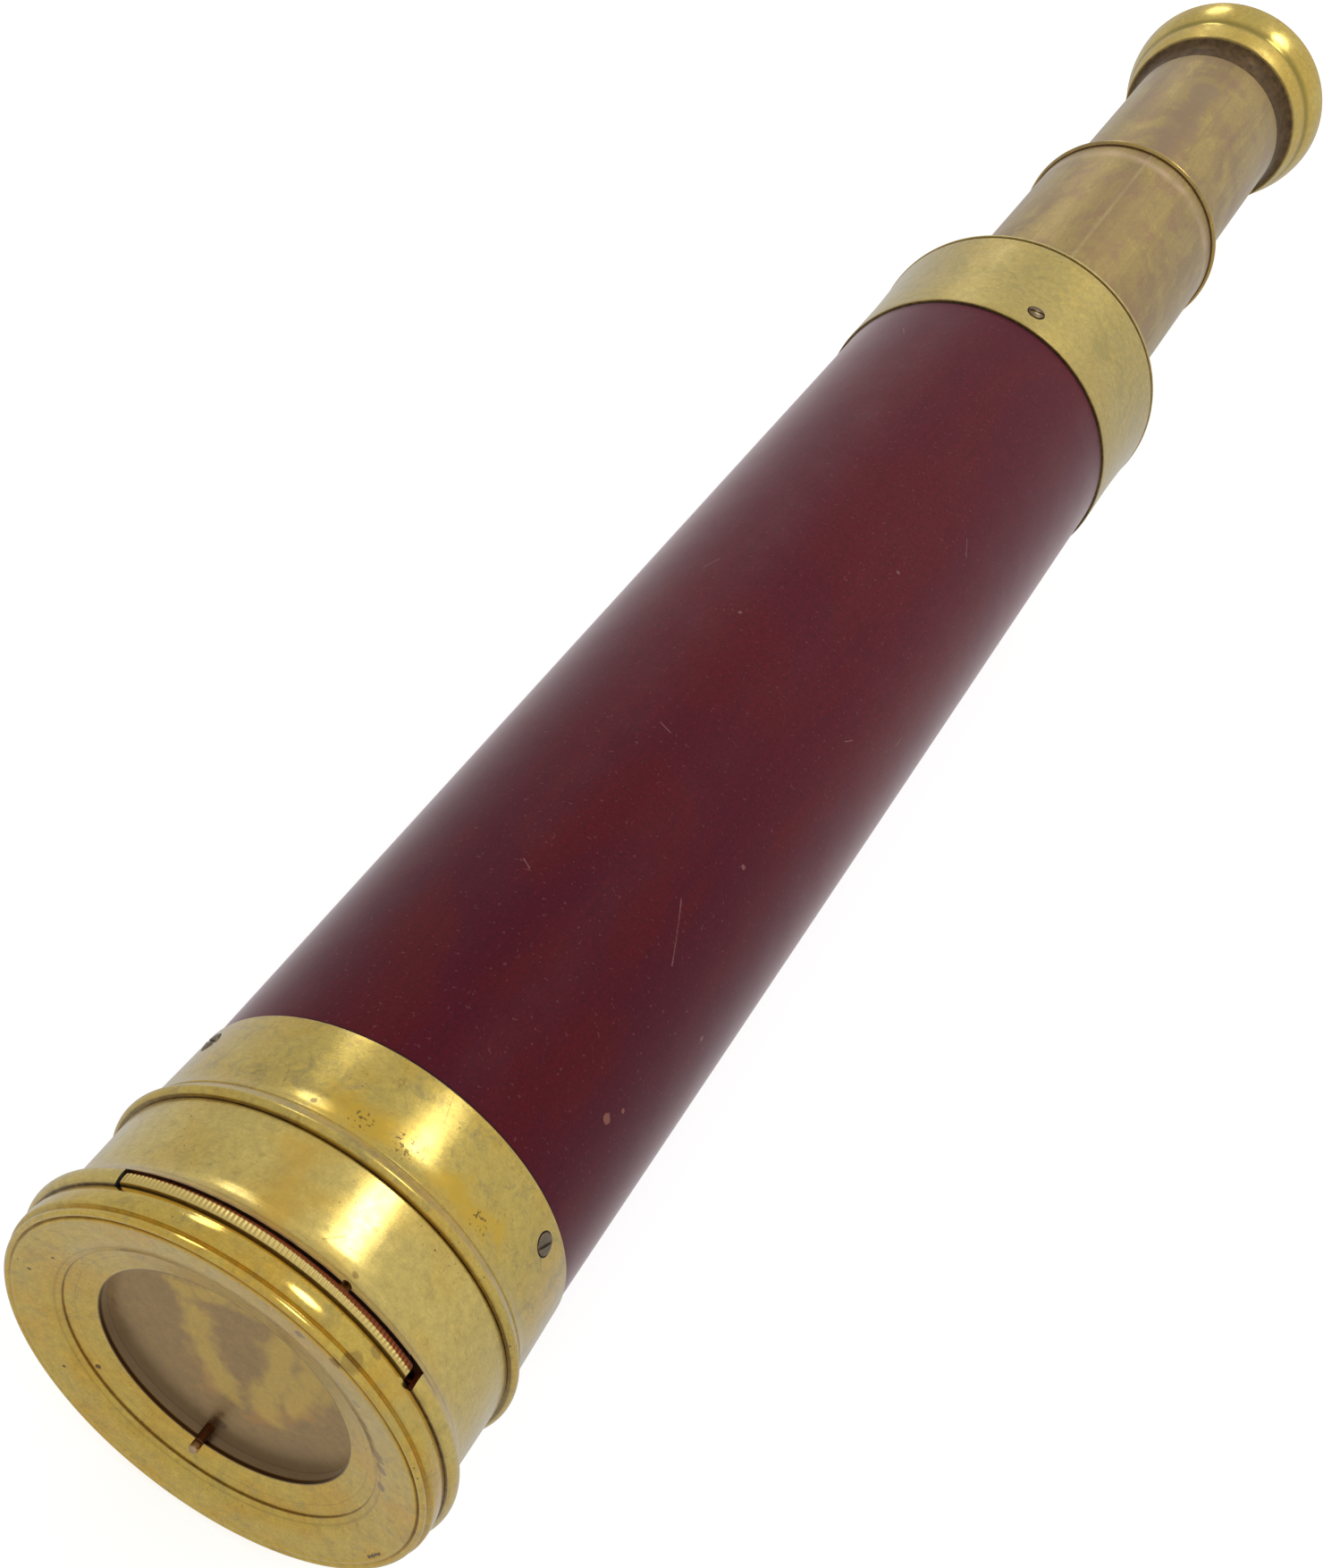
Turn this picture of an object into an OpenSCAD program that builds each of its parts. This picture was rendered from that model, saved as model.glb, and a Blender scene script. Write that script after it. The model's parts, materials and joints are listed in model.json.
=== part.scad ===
// Two-draw hand telescope with a wooden barrel and a sliding shutter over the objective.
// The optical axis is Y, the objective looks along -Y, and the shutter pulls up along +Z.
// The origin is the centre of the bezel's front rim. All sizes are in millimetres.

/* [Objective end] */
// Radius of the clear aperture in the bezel
aperture_r = 18.4; // [16:0.1:19]
// Radius where the flat face meets the rounded lip
face_r = 29.5; // [28.5:0.1:29.8]
// Radius of the step turned in the flat face
step_r = 22.9; // [21:0.1:25]
// Widest radius of the bezel's rounded lip
lip_r = 31.1; // [30.8:0.1:31.4]
// Widest radius of the flange around the shutter slot
flange_r = 31.75; // [31.4:0.05:32.2]
// Outer radius of the cap behind the flange
cap_r = 29.65; // [29.4:0.05:30]
// Thickness of the bezel, which is where the flange starts
bezel_back = 4.5; // [4:0.1:5]
// Rear edge of the cap, where it meets the ferrule
cap_back = 21.1; // [20:0.1:23]

/* [Shutter] */
// Half the width of the slot that guides the shutter
slot_half = 20.8; // [20.2:0.1:21]
// Half the width of the shutter plate
plate_half = 20.3; // [19.6:0.1:20.5]
// Thickness of the shutter plate
plate_thick = 1.7; // [1:0.1:1.9]
// Distance of the pull pin below the axis
pin_drop = 17; // [15:0.1:17.2]

/* [Barrel] */
// Widest radius of the bead on the objective ferrule
bead_r = 30.7; // [30.3:0.1:31]
// Rear edge of the objective ferrule
ferrule_back = 37.5; // [34:0.5:45]
// Radius of the wooden barrel at its front end
wood_front_r = 28.5; // [28.2:0.05:28.7]
// Radius of the wooden barrel at its rear end
wood_rear_r = 28.05; // [27.9:0.05:28.3]
// Bore of the wooden barrel
wood_bore_r = 23.6; // [23.5:0.05:24]
// Front edge of the rear collar
collar_front = 244.3; // [240:0.1:246]
// Rear face of the rear collar
collar_back = 272; // [270:0.5:273]
// Radius of the slotted screw heads
screw_head_r = 1.6; // [1.2:0.1:2]

/* [Draws] */
// Outer radius of the first draw tube
first_r = 20.95; // [20.9:0.05:21]
// Outer radius of the second draw tube
second_r = 18.1; // [18:0.05:18.2]
// Wall thickness of both draw tubes
tube_wall = 0.75; // [0.6:0.05:0.8]
// Rear end of the first draw tube
first_back = 336.4; // [336:0.1:340]
// Rear end of the second draw tube
second_back = 397.5; // [397:0.1:402]
// Length of the first draw tube
first_length = 239.4; // [230:0.2:240]
// Length of the second draw tube
second_length = 227.5; // [220:0.5:228]
// Radial clearance between each draw and its bush
running_gap = 0.04; // [0.02:0.01:0.08]

/* [Eyepiece] */
// Widest radius of the eye cup
cup_r = 23.6; // [23:0.1:24]
// Radius of the eye hole
eye_hole_r = 3.6; // [3:0.1:4]
// Distance from the axis to the pivot of the eye shutter
swing_arm = 10.5; // [10:0.1:11]
// Distance from the pivot to the stud of the eye shutter
stud_arm = 16.8; // [16.5:0.1:17.2]
// Angle that the eye shutter swings through
swing_angle = 51; // [48:1:54]

/* [Hidden] */

brass = [0.78, 0.66, 0.30];
dull_brass = [0.60, 0.52, 0.33];
tarnished = [0.50, 0.42, 0.30];
mahogany = [0.22, 0.05, 0.05];
glass = [0.75, 0.85, 0.88, 0.4];
blackened = [0.12, 0.11, 0.10];

// Shutter box
slot_back = 7.0;
web_back = 8.8;
plate_front = 4.75;
housing_aperture_r = aperture_r + 0.2;
skirt_r = 28.1;
shutter_travel = 34;
notch_angle = 17;
notch_r = 0.7;

// Objective
cell_r = 26;
cell_front = 9.8;
cell_back = 19.6;
lens_r = 21;
lens_seat = 11;
crown_front_curve = 150;
crown_back_curve = 120;
crown_thick = 5.2;
lens_air = 0.15;
flint_thick = 2.2;

// Barrel
wood_front = 24;
wood_back = 268;
rebate_front_r = 27.4;
rebate_rear_r = 27.5;
spigot_front = 12.5;
ferrule_back_r = 28.85;
collar_front_r = 28.62;
collar_end_r = 29.3;
bush_front = 240;
bush_r = 23.2;
bush_slit_length = 18;
ferrule_screw_y = 33.9;
ferrule_screw_angle = 55.5;
ferrule_screw_surface = 28.98;
collar_screw_y = 249.8;
collar_screw_angle = 2.4;
collar_screw_surface = 28.62;
screw_count = 3;
shank_r = 0.9;
shank_length = 3.4;
head_thick = 0.7;
head_proud = 0.3;
screw_slot = 0.5;

// Draws
first_front = first_back - first_length;
first_bore_r = first_r - tube_wall;
second_front = second_back - second_length;
second_bore_r = second_r - tube_wall;
stop_length = 6;
first_stop_r = wood_bore_r - 0.3;
second_stop_r = first_bore_r - 0.3;
end_bush_front = 310.6;
end_ring_back = 338.3;
end_ring_r = 21.75;

// Erector and eyepiece
inner_tube_r = second_bore_r;
inner_bore_r = inner_tube_r - 0.85;
erector_front = 176;
erector_back = 240;
erector_lens_r = 10;
erector_stop_y = 208;
erector_stop_hole = 2.5;
erector_front_seat = erector_front + 4;
erector_rear_seat = erector_back - 7;
eyepiece_front = 330;
field_lens_r = 14;
field_seat = 336;
field_stop_y = 372;
field_stop_hole = 8.5;
cup_arris = [20.4, 403.2];
cup_back = 418.2;
cup_mouth_r = 20.6;
dish_depth = 6;
cavity_back = 411;
eye_cell_front = 401;
eye_cell_back = 409.6;
eye_lens_r = 8;
eye_lens_front = 402.6;
leaf_front = 409.9;
leaf_thick = 0.8;
leaf_r = 5.2;
pivot_r = 0.8;
stud_r = 0.6;
stud_back = 415.6;
stud_slot_half = 1;

// Points of an arc about a centre, from one angle to another
function arc(centre, radius, from, to, steps = 6) =
    [for (i = [0:steps]) let (a = from + (to - from) * i / steps) centre + radius * [cos(a), sin(a)]];

// Points of a spherical lens face from the axis to its edge; a positive curve opens towards +Y
function lens_face(edge, vertex, curve, steps = 10) =
    [for (i = [0:steps]) let (r = edge * i / steps)
        [r, vertex + (curve == 0 ? 0 : sign(curve) * (abs(curve) - sqrt(curve * curve - r * r)))]];

function backwards(points) = [for (i = [len(points) - 1:-1:0]) points[i]];

// A solid turned about the optical axis from an outline of [radius, Y] points
module turned(outline) rotate([-90, 0, 0]) rotate_extrude($fn = 96) polygon(outline);

module ring(outer, inner, from, to) turned([[inner, from], [outer, from], [outer, to], [inner, to]]);

// A flat piece across the axis, from an outline of X and Z
module slab(from, to) translate([0, to, 0]) rotate([90, 0, 0]) linear_extrude(to - from) children();

module lens(edge, front, front_curve, thick, back_curve)
    turned(concat(lens_face(edge, front, front_curve), backwards(lens_face(edge, front + thick, back_curve))));

// Places a shape at each screw of a ring of three; +Z there points out of the surface
module around(surface, y, angle)
    for (i = [0:screw_count - 1]) rotate([0, angle + i * 360 / screw_count, 0]) translate([0, y, surface])
        children();

module screw_shape(head) {
    translate([0, 0, head_proud - head_thick]) cylinder(r = head, h = head_thick, $fn = 32);
    translate([0, 0, -shank_length]) cylinder(r = shank_r, h = shank_length, $fn = 24);
}

module slotted_screws(surface, y, angle, turn) around(surface, y, angle) difference() {
    screw_shape(screw_head_r);
    rotate([0, 0, turn]) translate([0, 0, head_proud])
        cube([4 * screw_head_r, screw_slot, screw_slot], center = true);
}

module shutter_outline(half, top) intersection() {
    circle(r = top, $fn = 96);
    union() {
        circle(r = half, $fn = 96);
        translate([-half, 0]) square([2 * half, top]);
    }
}

module slits(from, length, reach) for (i = [0:1]) rotate([0, 45 + 90 * i, 0])
    translate([-reach, from - 1, -0.4]) cube([2 * reach, length + 1, 0.8]);

// Objective end

module front_bezel() color(brass) turned(concat(
    [[aperture_r, bezel_back], [aperture_r, 3.06]],
    [for (a = [80:-20:0]) [step_r - (step_r - aperture_r) * cos(90 - a), 3.06 - 1.16 * (1 - sin(a)) ]],
    [[step_r, 1.64], [face_r - 0.6, 0.12], [face_r - 0.5, 0], [face_r, 0], [face_r + 0.08, 0.15],
     [face_r + 0.2, 0.1]],
    arc([lip_r - 1.9, 2], 1.9, -50, 0),
    [[lip_r, 3.7], [lip_r - 0.15, bezel_back]]));

module shutter_housing() color(brass) difference() {
    turned(concat(
        [[housing_aperture_r, bezel_back], [lip_r - 0.15, bezel_back]],
        arc([flange_r - 1.5, 5.8], 1.5, -45, 45),
        [[flange_r - 0.9, 7.3], [cap_r + 0.7, 8], [cap_r + 0.25, 9], [cap_r, 10.5],
         [cap_r - 0.05, cap_back - 0.4], [cap_r - 0.3, cap_back],
         [skirt_r, cap_back], [skirt_r, web_back], [housing_aperture_r, web_back]]));
    slab(bezel_back - 1, slot_back) shutter_outline(slot_half, 2 * flange_r);
    rotate([0, notch_angle, 0]) translate([0, slot_back, cap_r]) cylinder(r = notch_r, h = 4, $fn = 24);
}

module objective_ferrule() color(brass) difference() {
    turned(concat(
        [[cell_r, spigot_front], [skirt_r, spigot_front], [skirt_r, cap_back], [bead_r - 1, cap_back + 0.05]],
        arc([bead_r - 0.9, cap_back + 0.95], 0.9, -80, 50),
        [[bead_r - 0.9, 23.8], [29.45, 25], [29.25, 26.5], [ferrule_back_r, ferrule_back - 0.2],
         [ferrule_back_r - 0.2, ferrule_back], [rebate_front_r, ferrule_back],
         [rebate_front_r, wood_front], [lens_r + 3.2, wood_front], [lens_r + 3.2, cell_back + 0.4],
         [cell_r, cell_back + 0.4]]));
    around(ferrule_screw_surface, ferrule_screw_y, ferrule_screw_angle) screw_shape(screw_head_r);
}

module ferrule_screws() color(tarnished)
    slotted_screws(ferrule_screw_surface, ferrule_screw_y, ferrule_screw_angle, 65);

module objective_cell() color(blackened) turned([
    [lens_r - 1, cell_front], [cell_r, cell_front], [cell_r, cell_back], [lens_r + 0.05, cell_back],
    [lens_r + 0.05, lens_seat - 0.2], [lens_r - 1, lens_seat - 0.2]]);

crown_vertex = lens_seat - (crown_front_curve - sqrt(pow(crown_front_curve, 2) - pow(lens_r, 2)));
flint_vertex = crown_vertex + crown_thick + lens_air;

module crown_lens() color(glass)
    lens(lens_r, crown_vertex, crown_front_curve, crown_thick, -crown_back_curve);

module flint_lens() color(glass) lens(lens_r, flint_vertex, -crown_back_curve, flint_thick, 0);

module lens_retaining_ring() color(blackened)
    ring(lens_r, lens_r - 1.5, flint_vertex + flint_thick + 0.05, cell_back - 0.3);

// Barrel

module barrel() color(mahogany) difference() {
    turned([
        [wood_bore_r, wood_front], [rebate_front_r, wood_front], [rebate_front_r, ferrule_back],
        [wood_front_r, ferrule_back], [wood_rear_r, collar_front], [rebate_rear_r, collar_front],
        [rebate_rear_r, wood_back], [wood_bore_r, wood_back]]);
    around(ferrule_screw_surface, ferrule_screw_y, ferrule_screw_angle) screw_shape(screw_head_r);
    around(collar_screw_surface, collar_screw_y, collar_screw_angle) screw_shape(screw_head_r);
}

module rear_collar() color(dull_brass) difference() {
    turned([
        [rebate_rear_r, collar_front], [collar_front_r - 0.17, collar_front],
        [collar_front_r, collar_front + 0.4], [collar_front_r, 256], [28.75, 262], [28.95, 267],
        [29.15, 270.5], [28.95, 270.9], [collar_end_r, 271.15], [collar_end_r, 271.5],
        [collar_end_r - 0.4, collar_back], [bush_r, collar_back], [bush_r, wood_back],
        [rebate_rear_r, wood_back]]);
    around(collar_screw_surface, collar_screw_y, collar_screw_angle) screw_shape(screw_head_r);
}

module collar_screws() color(tarnished)
    slotted_screws(collar_screw_surface, collar_screw_y, collar_screw_angle, 20);

module draw_bush() color(dull_brass) difference() {
    ring(bush_r, first_r + running_gap, bush_front, collar_back);
    slits(bush_front, bush_slit_length, bush_r + 1);
}

// Shutter

module shutter_plate() color(tarnished) difference() {
    slab(plate_front, plate_front + plate_thick) shutter_outline(plate_half, flange_r - 0.3);
    translate([0, plate_front - 1, -pin_drop]) rotate([-90, 0, 0]) cylinder(r = 0.7, h = 4, $fn = 24);
}

module shutter_pin() color(tarnished) translate([0, 0, -pin_drop]) turned([
    [0, 0.5], [0.45, 0.55], [0.7, 0.85], [0.7, plate_front + plate_thick], [0, plate_front + plate_thick]]);

// First draw

module first_draw_tube() color(dull_brass) ring(first_r, first_bore_r, first_front, first_back);

module first_draw_stop_ring() color(dull_brass)
    ring(first_stop_r, first_r, first_front, first_front + stop_length);

module first_draw_baffle() color(blackened) turned([
    [15, first_front + 1], [first_bore_r, first_front + 1], [first_bore_r, first_front + 5],
    [first_bore_r - 0.8, first_front + 5], [first_bore_r - 0.8, first_front + 2], [15, first_front + 2]]);

module first_draw_end_ring() color(brass) difference() {
    turned(concat(
        [[second_r + running_gap, end_bush_front], [first_bore_r, end_bush_front],
         [first_bore_r, first_back], [first_r + 0.3, first_back]],
        arc([end_ring_r - 0.8, first_back + 0.95], 0.8, -70, 80),
        [[second_r + 0.4, end_ring_back], [second_r + running_gap, end_ring_back - 0.4]]));
    slits(end_bush_front, bush_slit_length, first_bore_r + 0.1);
}

// Second draw with the erector

module second_draw_tube() color(dull_brass) ring(second_r, second_bore_r, second_front, second_back);

module second_draw_stop_ring() color(dull_brass)
    ring(second_stop_r, second_r, second_front, second_front + stop_length);

module erector_tube() color(blackened) ring(inner_tube_r, inner_bore_r, erector_front, erector_back);

module erector_lens(front) color(glass) lens(erector_lens_r, front, 45, 3.4, 0);

// A lens holder: a seat on the objective side and a clear rim behind it
module lens_holder(outer, edge, from, to, seat) color(blackened) turned([
    [edge - 1, from], [outer, from], [outer, to], [edge, to], [edge, seat], [edge - 1, seat]]);

module erector_front_cell()
    lens_holder(inner_bore_r, erector_lens_r, erector_front + 1, erector_front + 9, erector_front_seat - 0.2);

module erector_front_lens() erector_lens(erector_front_seat);

module erector_stop() color(blackened)
    ring(inner_bore_r, erector_stop_hole, erector_stop_y, erector_stop_y + 1.2);

module erector_rear_cell()
    lens_holder(inner_bore_r, erector_lens_r, erector_rear_seat - 3, erector_back - 1, erector_rear_seat - 0.2);

module erector_rear_lens() erector_lens(erector_rear_seat);

// Eyepiece

module eyepiece_tube() color(blackened) ring(inner_tube_r, inner_bore_r, eyepiece_front, second_back);

module field_lens_ring()
    lens_holder(inner_bore_r, field_lens_r, field_seat - 3, field_seat + 6, field_seat - 0.2);

module field_lens() color(glass) lens(field_lens_r, field_seat, 30, 5.2, 0);

module field_stop() color(blackened)
    ring(inner_bore_r, field_stop_hole, field_stop_y, field_stop_y + 1.2);

module eye_lens_cell()
    lens_holder(inner_bore_r, eye_lens_r, eye_cell_front, eye_cell_back, eye_lens_front - 0.2);

module eye_lens() color(glass) lens(eye_lens_r, eye_lens_front, 20, 3.6, 0);

// A point on the swing of the eye shutter: distance from the pivot and angle, as X and Z
function swing(distance, angle) = [-swing_arm + distance * cos(angle), distance * sin(angle)];

// The curved slot that the stud runs in, with round ends
module stud_slot_outline() {
    for (a = [0, swing_angle]) translate(swing(stud_arm, a)) circle(r = stud_slot_half, $fn = 24);
    intersection() {
        translate([-swing_arm, 0]) difference() {
            circle(r = stud_arm + stud_slot_half, $fn = 128);
            circle(r = stud_arm - stud_slot_half, $fn = 128);
        }
        polygon([swing(0, 0), swing(2 * stud_arm, 0), swing(2 * stud_arm, swing_angle)]);
    }
}

module eye_cup() color(brass) difference() {
    turned(concat(
        [[inner_bore_r, cavity_back], [inner_bore_r, second_back], [second_r, second_back]],
        [for (a = [15:15:90]) [cup_arris[0] - (cup_arris[0] - second_r - 0.1) * cos(a),
                               second_back + (cup_arris[1] - second_back - 0.2) * sin(a)]],
        [cup_arris, [20.9, 405.2], [21.5, 407.6], [22, 409.4], [22.45, 410.9], [22.85, 412.4],
         [23.2, 413.8], [23.48, 415.1], [cup_r, 416], [cup_r - 0.05, 416.7], [23.3, 417.4],
         [22.8, 417.95], [22.1, cup_back], [cup_mouth_r, cup_back]],
        [for (i = [7:-1:2]) dish_point(cup_mouth_r * i / 8)],
        [dish_point(eye_hole_r), [eye_hole_r, cavity_back]]));
    slab(cavity_back - 0.5, cup_back) stud_slot_outline();
    translate([-swing_arm, cavity_back - 0.5, 0]) rotate([-90, 0, 0]) cylinder(r = pivot_r, h = 1.2, $fn = 24);
}

// A point of the dished rear face
function dish_point(r) = [r, cup_back - dish_depth * (1 - pow(r / cup_mouth_r, 2))];

module eye_shutter_pivot() color(tarnished) translate([-swing_arm, 0, 0])
    turned([[0, eye_cell_back], [pivot_r, eye_cell_back], [pivot_r, cavity_back + 0.7], [0, cavity_back + 0.7]]);

module eye_shutter_plate() color(dull_brass) difference() {
    slab(leaf_front, leaf_front + leaf_thick) {
        circle(r = leaf_r, $fn = 64);
        hull() {
            translate([-swing_arm, 0]) circle(r = 2.2, $fn = 32);
            translate(swing(stud_arm, 0)) circle(r = 1.5, $fn = 32);
        }
    }
    translate([-swing_arm, leaf_front - 1, 0]) rotate([-90, 0, 0])
        cylinder(r = pivot_r + 0.05, h = 3, $fn = 24);
}

module eye_shutter_stud() color(tarnished) translate([stud_arm - swing_arm, 0, 0]) turned([
    [0, leaf_front + leaf_thick], [stud_r, leaf_front + leaf_thick], [stud_r, stud_back - 0.3],
    [stud_r - 0.3, stud_back], [0, stud_back]]);

front_bezel();
shutter_housing();
objective_ferrule();
ferrule_screws();
objective_cell();
crown_lens();
flint_lens();
lens_retaining_ring();
barrel();
rear_collar();
collar_screws();
draw_bush();
shutter_plate();
shutter_pin();
first_draw_tube();
first_draw_stop_ring();
first_draw_baffle();
first_draw_end_ring();
second_draw_tube();
second_draw_stop_ring();
erector_tube();
erector_front_cell();
erector_front_lens();
erector_stop();
erector_rear_lens();
erector_rear_cell();
eyepiece_tube();
field_lens_ring();
field_lens();
field_stop();
eye_lens_cell();
eye_lens();
eye_cup();
eye_shutter_pivot();
eye_shutter_plate();
eye_shutter_stud();
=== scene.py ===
"""Camera, light, materials and detailed pieces for a two-draw hand telescope.

The optical axis is Y, the objective looks along -Y and the shutter pulls up along +Z.
Outlines and sizes are in millimetres; every mesh is scaled to metres once, when it is made.
"""

import json
import math
import random

import bmesh
import bpy
from mathutils import Matrix, Vector


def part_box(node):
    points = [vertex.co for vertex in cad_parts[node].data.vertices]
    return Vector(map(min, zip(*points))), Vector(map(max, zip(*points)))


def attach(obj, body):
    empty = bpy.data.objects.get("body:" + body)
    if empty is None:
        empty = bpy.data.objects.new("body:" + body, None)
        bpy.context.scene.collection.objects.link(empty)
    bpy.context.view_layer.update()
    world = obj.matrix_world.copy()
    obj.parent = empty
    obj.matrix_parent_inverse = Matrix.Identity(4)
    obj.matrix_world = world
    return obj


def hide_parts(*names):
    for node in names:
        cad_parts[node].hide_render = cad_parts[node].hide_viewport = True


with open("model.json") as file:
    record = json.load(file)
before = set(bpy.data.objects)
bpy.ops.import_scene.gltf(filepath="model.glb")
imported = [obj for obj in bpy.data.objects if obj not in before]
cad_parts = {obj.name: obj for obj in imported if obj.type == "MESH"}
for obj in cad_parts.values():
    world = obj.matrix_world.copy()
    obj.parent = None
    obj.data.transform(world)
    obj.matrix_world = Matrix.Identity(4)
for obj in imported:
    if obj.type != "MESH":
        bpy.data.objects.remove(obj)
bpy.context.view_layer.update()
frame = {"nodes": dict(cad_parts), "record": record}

MM = 0.001
SEGMENTS = 256
sharp_angle = 32
random.seed(7)


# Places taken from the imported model, in millimetres

def front(node):
    """Where a node starts along the axis."""
    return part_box(node)[0].y / MM


def back(node):
    """Where a node ends along the axis."""
    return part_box(node)[1].y / MM


def radius(node):
    """How far a node reaches to the right of the axis."""
    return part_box(node)[1].x / MM


bezel_back = back("front_bezel")
lip_r = radius("front_bezel")
flange_r = radius("shutter_housing")
cap_back = back("shutter_housing")
plate_front = front("shutter_plate")
plate_back = back("shutter_plate")
plate_half = radius("shutter_plate")
plate_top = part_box("shutter_plate")[1].z / MM
ferrule_back = back("objective_ferrule")
bead_r = radius("objective_ferrule")
wood_front_r = radius("barrel")
collar_front = front("rear_collar")
collar_back = back("rear_collar")
collar_end_r = radius("rear_collar")
bush_r = radius("draw_bush")
first_r = radius("first_draw_tube")
first_back = back("first_draw_tube")
end_ring_r = radius("first_draw_end_ring")
second_r = radius("second_draw_tube")
second_back = back("second_draw_tube")
cup_back = back("eye_cup")
cup_r = radius("eye_cup")

# Sizes that no box gives: bezel
aperture_r = 18.4
aperture_edge = 3.06
step_r = 22.9
step_back = 1.64
face_r = 29.5
face_bend = (25.0, 0.72)
face_slope = 0.44
spigot_r = 30.1
lip_curve = (6.5, 2.15)
bevel_depth = 1.16

# Shutter housing
cap_r = 29.65
skirt_r = 28.1
flange_y = 5.8
flange_curve = 1.5
recess_front = plate_front - 0.005
round_steps = 96
slot_half = 20.8
slot_back = 7.0
web_back = 8.8
notch_r = 0.7
notch_angle = 17
pin_r = 0.7

# Ferrule, barrel and collar
ferrule_front = 12.5
ferrule_thread_r = 26
ferrule_web_r = 24.2
ferrule_web_front = 20
ferrule_bead = 0.8
ferrule_back_r = 28.85
rebate_front_r = 27.4
rebate_rear_r = 27.5
wood_front = 24
wood_bore_r = 23.6
wood_rear_r = 28.05
wood_back = 268
fine_scratches = 14
scratch_span = (48, 236)
scratch_turns = (-50, 250)
collar_r = 28.62
collar_flare_r = 29.15
collar_bead = 271.12
collar_rest = 271.3

# Draws and screws
tube_wall = 0.75
running_gap = 0.04
ring_seat = 310.6
ring_bead = 0.8
head_r = 1.52
head_hole_r = 1.67
head_thick = 0.7
head_proud = 0.3
shank_r = 0.9
shank_end = -3.4
screw_slot = 0.5
ferrule_screws = {"surface": 28.98, "y": 33.9, "angle": 55.5, "turn": 65}
collar_screws = {"surface": collar_r, "y": 249.8, "angle": 2.4, "turn": 20}

# Lenses, eye cup and eye shutter
lens_r = 21
lens_air = 0.15
crown_curves = (150, -120)
flint_curves = (-120, 0)
eye_lens_r = 8
eye_lens_curves = (20, 0)
bush_slit_length = 18
swing_arm = 10.5
stud_arm = 16.8
stud_slot_half = 1
swing_angle = 51
eye_hole_r = 3.6
cup_foot = (20.4, 403.2)
cup_waist = (21.5, 408.6)
cup_flare = (20, 417.6)
cup_hub = (16.5, 411)
cup_mouth_r = 20.6
dish_depth = 6


# Shapes

def arc(centre, size, start, end, steps=12):
    """Points of an arc about a centre, from one angle to another in degrees."""
    points = []
    for i in range(steps + 1):
        turn = math.radians(start + (end - start) * i / steps)
        points.append((centre[0] + size * math.cos(turn), centre[1] + size * math.sin(turn)))
    return points


def on(size, y, turn):
    """The point at a radius and a place along the axis, turned from the top by degrees."""
    return (size * math.sin(math.radians(turn)), y, size * math.cos(math.radians(turn)))


def softened(outline, steps=4):
    """The outline with each corner given as (radius, y, reach) rounded over that reach."""
    points = []
    for i, corner in enumerate(outline):
        here = Vector(corner[:2])
        if len(corner) < 3:
            points.append(here)
            continue
        before = Vector(outline[i - 1][:2]) - here
        after = Vector(outline[(i + 1) % len(outline)][:2]) - here
        start = here + before.normalized() * min(corner[2], before.length / 2)
        end = here + after.normalized() * min(corner[2], after.length / 2)
        for step in range(steps + 1):
            t = step / steps
            points.append(start * (1 - t) ** 2 + here * 2 * t * (1 - t) + end * t ** 2)
    return points


def turned(outline, axis=(0, 1, 0), segments=SEGMENTS):
    """A mesh turned about an axis from a closed outline of (radius, distance along the axis)."""
    mesh = bmesh.new()
    axis = Vector(axis)
    verts = [mesh.verts.new(Vector((r, 0, 0)) + axis * y) for r, y in softened(outline)]
    edges = [mesh.edges.new((verts[i - 1], verts[i])) for i in range(len(verts))]
    bmesh.ops.spin(mesh, geom=verts + edges, cent=(0, 0, 0), axis=axis, angle=2 * math.pi,
                   steps=segments, use_merge=True)
    bmesh.ops.remove_doubles(mesh, verts=mesh.verts, dist=0.0005)
    bmesh.ops.dissolve_degenerate(mesh, dist=0.0004, edges=mesh.edges)
    return mesh


def slab(levels):
    """A mesh stacked along Y from (y, points) levels, whose points are X and Z."""
    mesh = bmesh.new()
    rings = [[mesh.verts.new((x, y, z)) for x, z in points] for y, points in levels]
    for low, high in zip(rings, rings[1:]):
        for i in range(len(low)):
            mesh.faces.new((low[i - 1], low[i], high[i], high[i - 1]))
    mesh.faces.new(rings[0])
    mesh.faces.new(rings[-1])
    return mesh


def solid(name, mesh):
    """An object in metres from a mesh in millimetres."""
    bmesh.ops.recalc_face_normals(mesh, faces=mesh.faces)
    bmesh.ops.scale(mesh, vec=(MM, MM, MM), verts=mesh.verts)
    data = bpy.data.meshes.new(name)
    mesh.to_mesh(data)
    mesh.free()
    piece = bpy.data.objects.new(name, data)
    bpy.context.scene.collection.objects.link(piece)
    return piece


def cut(piece, *cutters):
    """Takes each cutter's shape out of the piece."""
    for mesh in cutters:
        cutter = solid("cutter", mesh)
        modifier = piece.modifiers.new("cut", "BOOLEAN")
        modifier.operation = "DIFFERENCE"
        modifier.solver = "EXACT"
        modifier.object = cutter
        graph = bpy.context.evaluated_depsgraph_get()
        piece.data = bpy.data.meshes.new_from_object(piece.evaluated_get(graph))
        piece.modifiers.clear()
        bpy.data.objects.remove(cutter)
    return piece


def cover(piece, material):
    """Gives every face of a piece one material."""
    piece.data.materials.clear()
    piece.data.materials.append(material)
    for face in piece.data.polygons:
        face.material_index = 0


def dress(piece, material, body, node):
    """Shades a piece, gives it its material, says what it rides on, and hides the CAD node that it
    replaces.
    """
    cover(piece, material)
    piece.data.shade_smooth()
    piece.data.set_sharp_from_angle(angle=math.radians(sharp_angle))
    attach(piece, body)
    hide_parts(node)


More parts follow.
